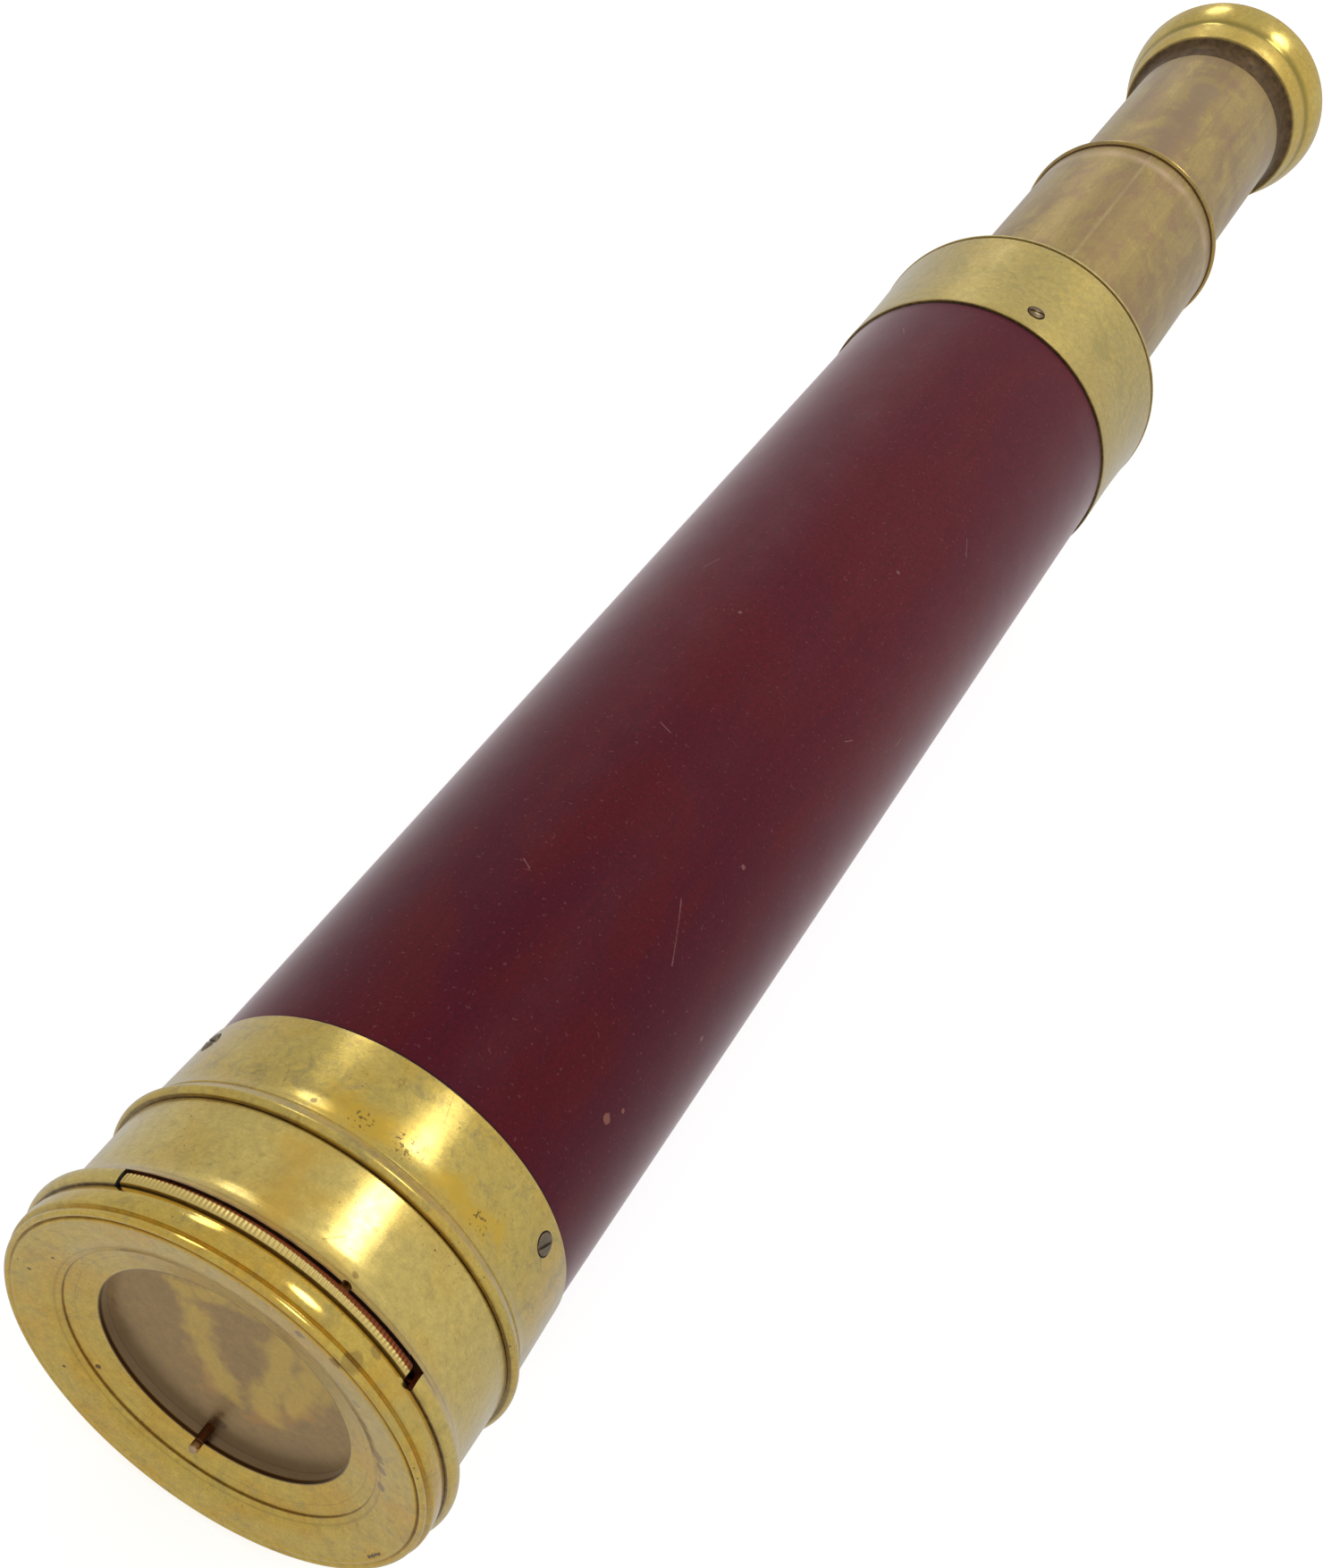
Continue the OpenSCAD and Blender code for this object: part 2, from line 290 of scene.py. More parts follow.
def moved(mesh, matrix):
    """The mesh, moved by a matrix."""
    bmesh.ops.transform(mesh, matrix=matrix, verts=mesh.verts)
    return mesh


def around(spec):
    """The places of a ring of three screws: Z points out of the surface there."""
    for i in range(3):
        turn = Matrix.Rotation(math.radians(spec["angle"] + 120 * i), 4, "Y")
        yield turn @ Matrix.Translation((0, spec["y"], spec["surface"]))


def cylinder(size, low, high, segments=48):
    """A cylinder along Z."""
    outline = [(0, low), (size, low), (size, high), (0, high)]
    return turned(outline, axis=(0, 0, 1), segments=segments)


def block(low, high):
    """A box between two corners."""
    mesh = bmesh.new()
    bmesh.ops.create_cube(mesh, size=1)
    low = Vector(low)
    high = Vector(high)
    for vert in mesh.verts:
        vert.co = Vector(
            (low[i] + high[i]) / 2 + vert.co[i] * (high[i] - low[i]) for i in range(3))
    return mesh


# Materials

class Shader:
    """A principled material in millimetres. Each method adds nodes and gives the socket they end in."""

    def __init__(self, name, **finish):
        self.material = bpy.data.materials.new(name)
        self.material.use_nodes = True
        self.tree = self.material.node_tree
        self.surface = self.tree.nodes["Principled BSDF"]
        for socket, value in finish.items():
            self.surface.inputs[socket.replace("_", " ")].default_value = value
        place = self.node("ShaderNodeTexCoord").outputs["Object"]
        self.place = self.vector("SCALE", place, scale=1 / MM)
        split = self.node("ShaderNodeSeparateXYZ", self.place)
        self.side = split.outputs["X"]
        self.along = split.outputs["Y"]
        self.up = split.outputs["Z"]
        self.out = self.vector("LENGTH", self.vector("MULTIPLY", self.place, (1, 0, 1)))

    def node(self, kind, *sources, **settings):
        """A new node with some settings, and its first inputs fed from the sources."""
        made = self.tree.nodes.new(kind)
        for setting, value in settings.items():
            setattr(made, setting, value)
        for socket, source in zip(made.inputs, sources):
            self.feed(socket, source)
        return made

    def feed(self, socket, value):
        """Links a socket to another one, or sets it to a value or a colour."""
        if isinstance(value, bpy.types.NodeSocket):
            self.tree.links.new(value, socket)
        elif isinstance(value, tuple) and socket.type == "RGBA":
            socket.default_value = (*value[:3], 1)
        else:
            socket.default_value = value

    def vector(self, operation, *sources, scale=None):
        """A vector sum, which gives a number for a length, a distance or a dot product."""
        made = self.node("ShaderNodeVectorMath", *sources, operation=operation)
        if scale is not None:
            self.feed(made.inputs["Scale"], scale)
        return made.outputs["Value" if operation in ("LENGTH", "DISTANCE", "DOT_PRODUCT") else "Vector"]

    def math(self, operation, a, b=0.0, clamp=False):
        """A sum of two numbers."""
        return self.node("ShaderNodeMath", a, b, operation=operation, use_clamp=clamp).outputs[0]

    def stretched(self, x, y, z):
        """The place with each axis scaled; a small scale draws a noise out along that axis."""
        return self.vector("MULTIPLY", self.place, (x, y, z))

    def noise(self, size, place=None, detail=3.0, rough=0.5, warp=0.0):
        """Cloudy noise whose clouds are about size millimetres across."""
        made = self.node("ShaderNodeTexNoise", place or self.place)
        settings = {"Scale": 1 / size, "Detail": detail, "Roughness": rough, "Distortion": warp}
        for socket, value in settings.items():
            made.inputs[socket].default_value = value
        return made.outputs[0]

    def between(self, value, low, high):
        """0 below low, 1 above high and smooth between; low may be the greater."""
        made = self.node("ShaderNodeMapRange", value, low, high, interpolation_type="SMOOTHSTEP")
        return made.outputs[0]

    def level(self, value, low, high, start=0.3, end=0.7):
        """A value spread out from low to high; a noise lies mostly between 0.3 and 0.7."""
        return self.node("ShaderNodeMapRange", value, start, end, low, high).outputs[0]

    def across(self, coordinate):
        """The coordinate with a name: x, y, z, or r for the distance from the axis."""
        return {"x": self.side, "y": self.along, "z": self.up, "r": self.out}[coordinate]

    def band(self, coordinate, low, high, soft=0.15):
        """1 where a coordinate lies between two values."""
        value = self.across(coordinate)
        above = self.between(value, low - soft, low + soft)
        return self.times(above, self.between(value, high + soft, high - soft))

    def mix(self, factor, a, b, blend="MIX"):
        """The colour a where the factor is 0, and b where it is 1."""
        made = self.node("ShaderNodeMix", factor, data_type="RGBA", blend_type=blend)
        self.feed(made.inputs[6], a)
        self.feed(made.inputs[7], b)
        return made.outputs[2]

    def shade(self, noise, colour, dark, light):
        """The colour made darker or lighter by a noise."""
        return self.mix(1.0, colour, self.level(noise, dark, light), "MULTIPLY")

    def lay(self, new, colour, *masks):
        """The colour with a new one laid over it by the product of the masks."""
        return self.mix(self.times(*masks), colour, new)

    def line(self, coordinate, centre, half, soft=0.6):
        """1 on a line across a coordinate, falling to 0 at half its width away."""
        gap = self.math("ABSOLUTE", self.math("SUBTRACT", coordinate, centre))
        return self.between(gap, half, half * (1 - soft))

    def near(self, point, far, close):
        """0 further than far from a point, and 1 nearer than close."""
        return self.between(self.vector("DISTANCE", self.place, tuple(point)), far, close)

    def spot(self, centre, size, ragged=0.35):
        """1 inside an uneven patch about a point."""
        gap = self.vector("DISTANCE", self.place, centre)
        uneven = self.math("MULTIPLY", self.noise(size * 0.55, detail=4), 2 * ragged * size)
        return self.between(self.math("ADD", gap, uneven), size * (1 + ragged), size * (0.7 + ragged))

    def stroke(self, start, end, half, ragged=0.0, soft=0.7):
        """1 along a straight stroke between two points, such as a scratch or a rubbed patch."""
        start = Vector(start)
        reach = Vector(end) - start
        from_start = self.vector("SUBTRACT", self.place, tuple(start))
        share = self.vector("DOT_PRODUCT", from_start, tuple(reach / reach.length_squared))
        share = self.math("MULTIPLY", share, 1.0, clamp=True)
        nearest = self.vector("SCALE", tuple(reach), scale=share)
        gap = self.vector("DISTANCE", from_start, nearest)
        if ragged:
            uneven = self.level(self.noise(half * 0.9, detail=4), -ragged * half, ragged * half)
            gap = self.math("ADD", gap, uneven)
        return self.between(gap, half, half * (1 - soft))

    def seam(self, colour, coordinate, centre, half, strength):
        """The colour with a thin dark line of grime in a seam and a soft brown edge beside it."""
        place = self.across(coordinate)
        worn = self.level(self.noise(2.5), 0.25, 1.0)
        edge = self.times(self.line(place, centre, half * 3.5, 1.0), worn, strength * 0.55)
        uneven = self.level(self.noise(0.9), 0.75, 1.0)
        core = self.times(self.line(place, centre, half), uneven, strength)
        return self.mix(core, self.mix(edge, colour, BRASS_BROWN), GRIME_AND_SHADE)

    def most(self, *masks):
        """The greatest of several masks."""
        top = masks[0]
        for mask in masks[1:]:
            top = self.math("MAXIMUM", top, mask)
        return top

    def times(self, *factors):
        """The product of several masks or numbers."""
        product = factors[0]
        for factor in factors[1:]:
            product = self.math("MULTIPLY", product, factor)
        return product

    def finish(self, colour, roughness, height=None, depth=0.01):
        """Feeds the surface, with a bump that is depth millimetres high, and gives the material."""
        self.feed(self.surface.inputs["Base Color"], colour)
        self.feed(self.surface.inputs["Roughness"], roughness)
        if height is not None:
            bump = self.node("ShaderNodeBump")
            self.feed(bump.inputs["Height"], height)
            self.feed(bump.inputs["Distance"], depth * MM)
            self.feed(self.surface.inputs["Normal"], bump.outputs[0])
        return self.material


BRASS = (0.80, 0.56, 0.145)
BRASS_PALE = (0.82, 0.625, 0.175)
BRASS_DEEP = (0.82, 0.50, 0.06)
BRASS_OLIVE = (0.52, 0.40, 0.13)
BRASS_BROWN = (0.30, 0.17, 0.045)
OLIVE_STAIN = (0.36, 0.20, 0.04)
# Dark grime for seams, pits and marks, also laid as painted shade inside the aperture's edge and in the
# screw holes
GRIME_AND_SHADE = (0.085, 0.038, 0.012)
# Dark red for grime and for painted shade in the shutter's slot and in the gap behind the shutter
RED_GRIME_AND_SHADE = (0.24, 0.065, 0.022)


def polished_brass(name, seams, base=BRASS, deep=0.5, age=0.5, shine=0.20, haze=0.25, coat=(0.6, 0.18),
                   gloss=(), marks=None):
    """Lacquered brass with turning marks, patina clouds, mottling, pits, and grime in its seams.

    seams are (coordinate, centre, half width, strength), where the coordinate is "y" or "r".
    deep and age are the strengths of the clouds and of the stains, from 0 to 1.
    coat is the lacquer's weight and roughness.
    gloss has (coordinate, low, high, factor) ranges that change the roughness.
    """
    s = Shader(name, Metallic=1.0, Coat_Weight=coat[0], Coat_Roughness=coat[1], Sheen_Weight=haze,
               Sheen_Roughness=0.3)
    turning = s.node("ShaderNodeCombineXYZ", s.out, s.along)
    lathe = s.noise(0.16, s.vector("ADD", turning.outputs[0], s.stretched(0.05, 0.05, 0.05)))
    clouds = s.between(s.noise(9, detail=5, warp=0.6), 0.42, 0.64)
    mottle = s.noise(1.2, detail=6, rough=0.7)
    colour = s.lay(BRASS_DEEP, base, clouds, deep)
    olive = s.between(s.noise(3.6, detail=6, rough=0.72, warp=0.8), 0.50, 0.66)
    colour = s.lay(BRASS_OLIVE, colour, olive, age * 0.8)
    brown = s.between(s.noise(2.2, detail=6, rough=0.75, warp=1.0), 0.58, 0.70)
    colour = s.lay(BRASS_BROWN, colour, brown, age * 0.6)
    colour = s.shade(mottle, colour, 0.86, 1.12)
    colour = s.shade(s.noise(0.35), colour, 0.93, 1.07)
    colour = s.shade(lathe, colour, 0.95, 1.04)
    where = s.between(s.noise(8, detail=2), 0.50, 0.60)
    pits = s.times(s.between(s.noise(0.42, detail=2), 0.68, 0.74), where)
    colour = s.lay(GRIME_AND_SHADE, colour, pits, 0.8)
    for seam in seams:
        colour = s.seam(colour, *seam)
    if marks is not None:
        colour = marks(s, colour)
    rough = s.level(s.noise(2.6, detail=5, rough=0.6), shine - 0.03, shine + 0.10)
    for coordinate, low, high, factor in gloss:
        rough = s.times(rough, s.level(s.band(coordinate, low, high), 1.0, factor, 0.0, 1.0))
    height = s.math("SUBTRACT", s.math("MULTIPLY", lathe, 0.35), pits)
    height = s.math("ADD", height, s.math("MULTIPLY", mottle, 0.45))
    return s.finish(colour, rough, height, 0.006)


def face_marks(s, colour):
    """Stains and specks on the face, a dent across the lip, and painted shade with grime just inside
    the aperture's edge, then the aperture's wall painted the grey of the shaded plate.
    """
    def at(x, z):
        size = math.hypot(x, z)
        if size > face_bend[0]:
            return (x, face_bend[1] * max(0.0, face_r - size) / (face_r - face_bend[0]), z)
        return (x, face_bend[1] + face_slope * (face_bend[0] - size), z)

    stains = [s.spot(at(x, z), size, 0.5) for x, z, size in [
        (21.3, 10.8, 1.5), (22.6, 8.6, 1.1), (23.5, 4.5, 0.9), (19.6, 13.6, 1.0), (18.3, 15.8, 1.0),
        (16.8, 19.8, 0.7), (12.8, 26.2, 0.9), (7.8, 26.7, 0.8), (1.1, 22.6, 0.5), (3.1, 22.0, 0.4)]]
    colour = s.lay(OLIVE_STAIN, colour, s.most(*stains), 0.85)
    haze = s.spot(at(16, 18), 9, 0.3)
    colour = s.lay((0.66, 0.51, 0.17), colour, haze, s.level(s.noise(1.6, detail=5), 0.1, 0.6))
    dark = [s.spot(at(x, z), size) for x, z, size in [
        (-15.9, -15.3, 0.5), (-27.1, 0.7, 0.35), (-19.8, -17.5, 0.3), (-24.4, 6.1, 0.3),
        (16.5, 16.2, 0.4)]]
    dark.append(s.stroke(at(27.2, -9.0), at(26.2, -11.6), 0.32, ragged=0.4))
    dark.append(s.stroke(on(lip_r, 3.3, 0.1), on(lip_r - 0.1, bezel_back, -0.6), 0.16))
    colour = s.lay(GRIME_AND_SHADE, colour, s.most(*dark), 0.85)
    brown = s.most(s.spot(on(lip_r - 0.4, 0.9, 28), 1.5), s.spot(on(lip_r, 3.9, 31), 1.0))
    colour = s.lay(BRASS_BROWN, colour, brown, 0.5)
    # Inside the aperture: a dark band of painted shade with grime at its edge, and the wall behind
    # painted the grey of the shaded plate
    wall = s.between(s.out, aperture_r + 0.25, aperture_r + 0.1)
    dark_band_end = aperture_edge + 0.54
    colour = s.lay((0.56, 0.49, 0.41), colour, wall, s.band("y", dark_band_end, plate_back))
    return s.lay(GRIME_AND_SHADE, colour, wall, s.band("y", aperture_edge - 0.08, dark_band_end))


def cap_marks(s, colour):
    """A warm cloud over the cap, small dark marks beside the slot, and dark red painted along and
    inside the slot for grime and its shade.
    """
    warm = s.stroke(on(cap_r, 11, -5), on(cap_r, 19, -7), 5.5, ragged=0.5, soft=1.0)
    colour = s.lay(BRASS_DEEP, colour, warm, 0.6)
    dark = s.most(s.spot(on(cap_r, 15.4, 15), 0.4), s.spot(on(cap_r, 9.2, 17.5), 0.6),
                  s.stroke(on(cap_r, 10.2, 7), on(cap_r, 12.3, 10.5), 0.14, ragged=0.5),
                  s.stroke(on(flange_r, 5, -22), on(cap_r, 8, -25), 0.2))
    colour = s.lay(BRASS_BROWN, colour, dark, 0.6)
    # Dark red painted along the slot's rear edge and over its walls, for grime and the slot's shade
    beside = s.times(s.line(s.along, slot_back - 0.15, 0.5, 0.7), s.between(s.up, 20.2, 21))
    ahead = s.between(s.along, slot_back + 0.1, slot_back)
    inside = s.times(s.between(s.out, cap_r - 0.1, cap_r - 0.3), ahead)
    colour = s.lay(RED_GRIME_AND_SHADE, colour, beside, s.level(s.noise(1.2, detail=4), 0.3, 1.0))
    return s.mix(inside, colour, RED_GRIME_AND_SHADE)


def ferrule_marks(s, colour):
    """Golden patches, a cluster of dark specks, scratches, and painted shade in the gap round each
    screw's head.
    """
    gold = s.most(s.stroke(on(29.1, 27, -11), on(29.1, 26, 2), 4.0, ragged=0.5, soft=1.0),
                  s.stroke(on(29.1, 26.5, 22), on(29.1, 27.5, 40), 3.4, ragged=0.5, soft=1.0))
    colour = s.lay((0.82, 0.52, 0.05), colour, gold, 0.85)
    where = s.most(s.spot(on(29.1, 26.8, 9.5), 2.6), s.spot(on(29.1, 26.2, -3), 1.8),
                   s.spot(on(29.1, 26.4, 34), 1.8))
    specks = s.times(s.between(s.noise(0.55, detail=2), 0.57, 0.62), where)
    dark = s.most(specks, s.spot(on(29.2, 25.4, -15.3), 0.55),
                  s.stroke(on(29, 28.9, -26.9), on(29.2, 25.6, -24.5), 0.17, ragged=0.6),
                  s.stroke(on(29, 26.9, -38), on(29.2, 25, -37.6), 0.16, ragged=0.6))
    colour = s.lay((0.12, 0.07, 0.02), colour, dark, 0.75)
    hair = s.stroke(on(28.9, 37, 10.3), on(29, 33, 12.6), 0.09)
    colour = s.lay(BRASS_BROWN, colour, hair, 0.5)
    # Painted shade in each screw's hole, round its head
    hole_shade = [s.near(place.translation, 1.78, 1.7) for place in around(ferrule_screws)]
    return s.mix(s.most(*hole_shade), colour, GRIME_AND_SHADE)


def collar_marks(s, colour):
    """Smudges and rubbed streaks, a painted highlight along the rear edge, and painted shade in the gap
    round each screw's head.
    """
    smudge = s.between(s.noise(4, detail=6, rough=0.7, warp=0.8), 0.47, 0.62)
    middle = s.times(s.line(s.along, 258, 10, 0.8), smudge)
    colour = s.lay((0.50, 0.40, 0.11), colour, middle, 0.6)
    streaks = s.between(s.noise(0.9, s.stretched(1, 0.3, 1), detail=4), 0.50, 0.62)
    soft_strokes = s.times(streaks, s.line(s.along, 264, 7, 1.0))
    colour = s.lay((0.52, 0.42, 0.16), colour, soft_strokes, 0.4)
    # A painted highlight along the bead at the rear edge
    behind = s.between(s.along, collar_bead - 0.02, collar_bead + 0.13)
    edge = s.times(behind, s.level(s.noise(1.2, detail=4), 0.2, 1.0))
    colour = s.mix(edge, colour, (0.95, 0.80, 0.36))
    # Painted shade in each screw's hole, round its head
    hole_shade = [s.near(place.translation, 1.86, 1.72) for place in around(collar_screws)]
    return s.mix(s.most(*hole_shade), colour, GRIME_AND_SHADE)


def cup_marks(s, colour):
    """The dull brown cove under the eye cup, and the soft dark line in its waist."""
    rusty = s.mix(s.level(s.noise(1.2, detail=5), 0, 1), (0.115, 0.072, 0.030), (0.205, 0.120, 0.050))
    colour = s.mix(s.band("y", second_back - 0.5, cup_foot[1] - 0.2), colour, rusty)
    waist = s.line(s.along, cup_waist[1] + 0.4, 1.7, 1.0)
    return s.lay((0.34, 0.26, 0.05), colour, waist, 0.8)


def drawn_brass(name, marks):
    """Dull brass with faint streaks along the axis from sliding, under gold and purple-brown patina."""
    s = Shader(name, Metallic=1.0, Coat_Weight=0.5, Coat_Roughness=0.35, Sheen_Weight=0.45,
               Sheen_Roughness=0.3)
    streaks = s.noise(1.1, s.stretched(1, 0.03, 1), detail=4, rough=0.6)
    grain = s.noise(0.45, s.stretched(1, 0.6, 1), detail=4, rough=0.7)
    clouds = s.noise(9, s.stretched(1, 0.5, 1), detail=5, warp=0.9)
    patches = s.noise(5, s.stretched(1, 0.6, 1), detail=6, rough=0.65, warp=0.5)
    colour = s.mix(s.between(clouds, 0.42, 0.62), (0.53, 0.372, 0.118), (0.46, 0.310, 0.122))
    colour = s.lay((0.47, 0.272, 0.140), colour, s.between(patches, 0.52, 0.66), 0.75)
    colour = s.lay((0.63, 0.460, 0.130), colour, s.between(patches, 0.47, 0.36), 0.6)
    colour = s.shade(streaks, colour, 0.92, 1.07)
    colour = s.shade(grain, colour, 0.88, 1.12)
    colour = marks(s, colour)
    return s.finish(colour, s.level(clouds, 0.42, 0.54), s.math("ADD", grain, streaks), 0.004)


def first_marks(s, colour):
    """A pale line drawn along the first tube, and a darker ring just behind the collar."""
    line = s.stroke(on(first_r, 274, -4), on(first_r, first_back, -4.6), 0.5, ragged=0.2)
    colour = s.lay((0.78, 0.62, 0.30), colour, line, 0.35)
    shadow = s.stroke(on(first_r, 292, 6), on(first_r, 322, 4), 5.5, ragged=0.5, soft=1.0)
    colour = s.lay((0.46, 0.29, 0.13), colour, shadow, 0.5)
    colour = s.lay((0.34, 0.27, 0.15), colour, s.line(s.along, 272, 5, 1.0), 0.5)
    pale = s.times(s.line(s.along, first_back - 4, 2.4, 1.0), s.level(s.noise(4), 0.2, 0.9))
    return s.mix(pale, colour, (0.74, 0.52, 0.30))


def second_marks(s, colour):
    """A dark line drawn along the second tube, beside a purple-brown patch."""
    patch = s.stroke(on(second_r, 345, -6), on(second_r, 379, -5), 5.2, ragged=0.4, soft=0.7)
    colour = s.lay((0.42, 0.28, 0.15), colour, patch, 0.7)
    line = s.stroke(on(second_r, 347, 11.6), on(second_r, 384, 11), 0.45, ragged=0.3)
    return s.lay((0.40, 0.29, 0.11), colour, line, 0.6)


def tarnished_brass(name, base, marks=None, rough=(0.34, 0.46)):
    """Bare mottled brass, with its roughness between two values."""
    s = Shader(name, Metallic=1.0)
    mottle = s.noise(1.3, detail=6, rough=0.7)
    colour = s.shade(mottle, base, 0.84, 1.16)
    colour = s.shade(s.noise(0.3, detail=2), colour, 0.93, 1.07)
    if marks is not None:
        colour = marks(s, colour)
    return s.finish(colour, s.level(mottle, *rough), mottle, 0.008)


def plate_marks(s, colour):
    """Golden fingers painted on the shutter as a blurred reflection, painted shade over its lower part
    and a painted shadow of the pin, its worn edge, and dark red behind that for grime and the gap's
    shade.
    """
    def soft_strokes(half, *places):
        ends = [(x, plate_front, z) for x, z in places]
        masks = [s.stroke(a, b, half, ragged=0.5, soft=1.0) for a, b in zip(ends, ends[1:])]
        return s.most(*masks)

    # Painted shade over the shutter's lower part, by the aperture's rim
    foot = s.times(s.between(s.out, 11, 17), s.between(s.up, -1, -10))
    colour = s.lay((0.30, 0.20, 0.10), colour, foot, 0.7)
    # A painted shadow of the pull pin
    colour = s.lay((0.15, 0.09, 0.05), colour, s.spot((1.0, plate_front, -14.6), 1.3), 0.6)
    red = s.most(soft_strokes(2.6, (5.1, -7.7), (10.8, 2.4)), soft_strokes(2.4, (-3.4, -3.9), (-1.8, -7.4)))
    colour = s.lay((0.66, 0.36, 0.12), colour, red, 0.55)
    # The golden fingers are a painted blurred reflection of the bright brass rim
    gold = s.most(soft_strokes(3.8, (-8.3, 11.1), (-5.1, 4.7), (-2.2, -2.3), (1.5, -6.0)),
                  soft_strokes(2.6, (-9.6, 10.3), (-2.1, 15.8), (5.4, 16.5)),
                  soft_strokes(4.2, (5.5, 14.8), (6, 5.3), (6, -4.3)),
                  soft_strokes(3.6, (9.2, 14.7), (10.5, 9.7), (8.8, 1.0)))
    grain = s.level(s.noise(0.8, detail=5, rough=0.7), 0.55, 1.0)
    colour = s.lay((0.80, 0.56, 0.15), colour, gold, grain)
    rim = s.between(s.out, plate_top - 1.4, plate_top - 0.9)
    colour = s.mix(rim, colour, (0.80, 0.61, 0.21))
    # Dark red painted on the shutter's rear slope, for grime and the shade of the gap behind it
    slant = s.math("ADD", s.along, s.math("MULTIPLY", s.side, 0.0175))
    return s.lay(RED_GRIME_AND_SHADE, colour, rim, s.between(slant, 5.72, 5.9))


def pin_marks(s, colour):
    """The dark foot of the pull pin below its worn tip."""
    return s.mix(s.between(s.along, 1.2, 2.2), colour, (0.13, 0.055, 0.025))


def bright_head_point(s, colour):
    """A bright point in the middle of each collar screw's head."""
    middle = Vector((0.2, -0.1, head_proud))
    points = [s.near(place @ middle, 0.9, 0.3) for place in around(collar_screws)]
    return s.mix(s.most(*points), colour, (0.72, 0.58, 0.36))


def mahogany(name):
    """Dark red polished wood under an old wax haze, with a chip, scratches and pale specks."""
    s = Shader(name, IOR=1.2, Sheen_Weight=1.0, Sheen_Roughness=0.33, Sheen_Tint=(1.0, 0.90, 0.93, 1))
    grain = s.noise(0.8, s.stretched(1, 0.05, 1), detail=5, rough=0.6)
    clouds = s.noise(14, s.stretched(1, 0.35, 1), detail=5, warp=0.4)
    fine = s.noise(0.45, detail=4, rough=0.8)
    red = s.between(clouds, 0.42, 0.58)
    front_tone = s.mix(red, (0.094, 0.0029, 0.0150), (0.119, 0.0042, 0.0078))
    rear_tone = s.mix(red, (0.138, 0.0060, 0.0185), (0.156, 0.0076, 0.0142))
    colour = s.mix(s.between(s.along, 50, 160), front_tone, rear_tone)
    colour = s.mix(s.level(s.noise(0.7), 0, 0.6), colour, (0.090, 0.0040, 0.0165))
    colour = s.shade(grain, colour, 0.93, 1.08)
    colour = s.shade(fine, colour, 0.70, 1.30)

    def skin(y, turn):
        """The point on the tapered surface there."""
        share = (y - ferrule_back) / (collar_front - ferrule_back)
        return on(wood_front_r + (wood_rear_r - wood_front_r) * share, y, turn)

    chip = s.most(s.spot(skin(53.2, 48.7), 0.9), s.spot(skin(56.5, 52), 0.4))
    colour = s.lay((0.34, 0.13, 0.085), colour, chip, 0.8)
    scratches = [s.stroke(skin(85.9, 27), skin(77.2, 36.6), 0.16, ragged=0.5)]
    for _ in range(fine_scratches):
        y = random.uniform(*scratch_span)
        turn = random.uniform(*scratch_turns)
        end = skin(y + random.uniform(-3, 3), turn + random.uniform(-5, 5))
        scratches.append(s.stroke(skin(y, turn), end, 0.13, ragged=0.4))
    pale = s.most(*scratches, s.spot(skin(99.4, 36.7), 0.45), s.spot(skin(77.1, 62.7), 0.45),
                  s.spot(skin(168, 20), 0.4), s.spot(skin(139, -12), 0.4))
    colour = s.lay((0.34, 0.17, 0.15), colour, pale, 0.6)
    dust = s.times(s.between(s.noise(0.6, detail=1), 0.68, 0.74), 0.4)
    colour = s.mix(dust, colour, (0.24, 0.08, 0.09))
    joint = s.most(s.line(s.along, ferrule_back, 0.35), s.line(s.along, collar_front, 0.35))
    colour = s.mix(joint, colour, (0.012, 0.002, 0.003))
    rough = s.level(s.noise(6, detail=5), 0.40, 0.52)
    return s.finish(colour, rough, s.math("ADD", grain, fine), 0.006)


def blackened_brass(name):
    """The matt black inside of the cells and stops."""
    s = Shader(name)
    mottle = s.noise(2, detail=5, rough=0.6)
    colour = s.shade(mottle, (0.020, 0.017, 0.014), 0.6, 1.5)
    return s.finish(colour, s.level(mottle, 0.55, 0.75), s.noise(0.3, detail=2))


def optical_glass(name):
    """Clear glass with a faint smear."""
    s = Shader(name, IOR=1.52, Transmission_Weight=1.0)
    smear = s.between(s.noise(6, detail=4), 0.5, 0.8)
    colour = s.mix(smear, (0.97, 0.99, 0.98), (0.93, 0.96, 0.95))
    return s.finish(colour, s.math("MULTIPLY", smear, 0.06))


bezel_brass = polished_brass("bezel_brass", [
    ("r", 21.4, 0.06, 0.2), ("r", step_r + 0.02, 0.08, 0.6), ("r", face_r + 0.13, 0.10, 0.7),
    ("y", 1.25, 0.10, 0.2), ("y", bezel_back, 0.13, 0.9)],
    base=(0.80, 0.565, 0.105), deep=0.75, age=0.6, shine=0.22, haze=0.1, gloss=[
        ("r", face_r + 0.4, lip_r + 1, 0.45), ("r", aperture_r, face_r + 0.3, 1.3)], marks=face_marks)
cap_brass = polished_brass("cap_brass", [
    ("y", bezel_back, 0.13, 0.9), ("y", cap_back, 0.09, 0.75), ("y", 8.1, 0.16, 0.3)],
    base=BRASS_PALE, deep=0.3, age=0.45, gloss=[("y", 4, 10, 1.35)], marks=cap_marks)
ferrule_brass = polished_brass("ferrule_brass", [
    ("y", cap_back, 0.09, 0.75), ("y", 23.75, 0.10, 0.35), ("y", ferrule_back, 0.12, 0.8)],
    base=(0.74, 0.545, 0.125), deep=0.4, age=0.95, marks=ferrule_marks)
ring_brass = polished_brass("ring_brass", [("y", first_back + 0.05, 0.22, 0.9)],
    base=(0.46, 0.32, 0.11), age=1.0, shine=0.24)
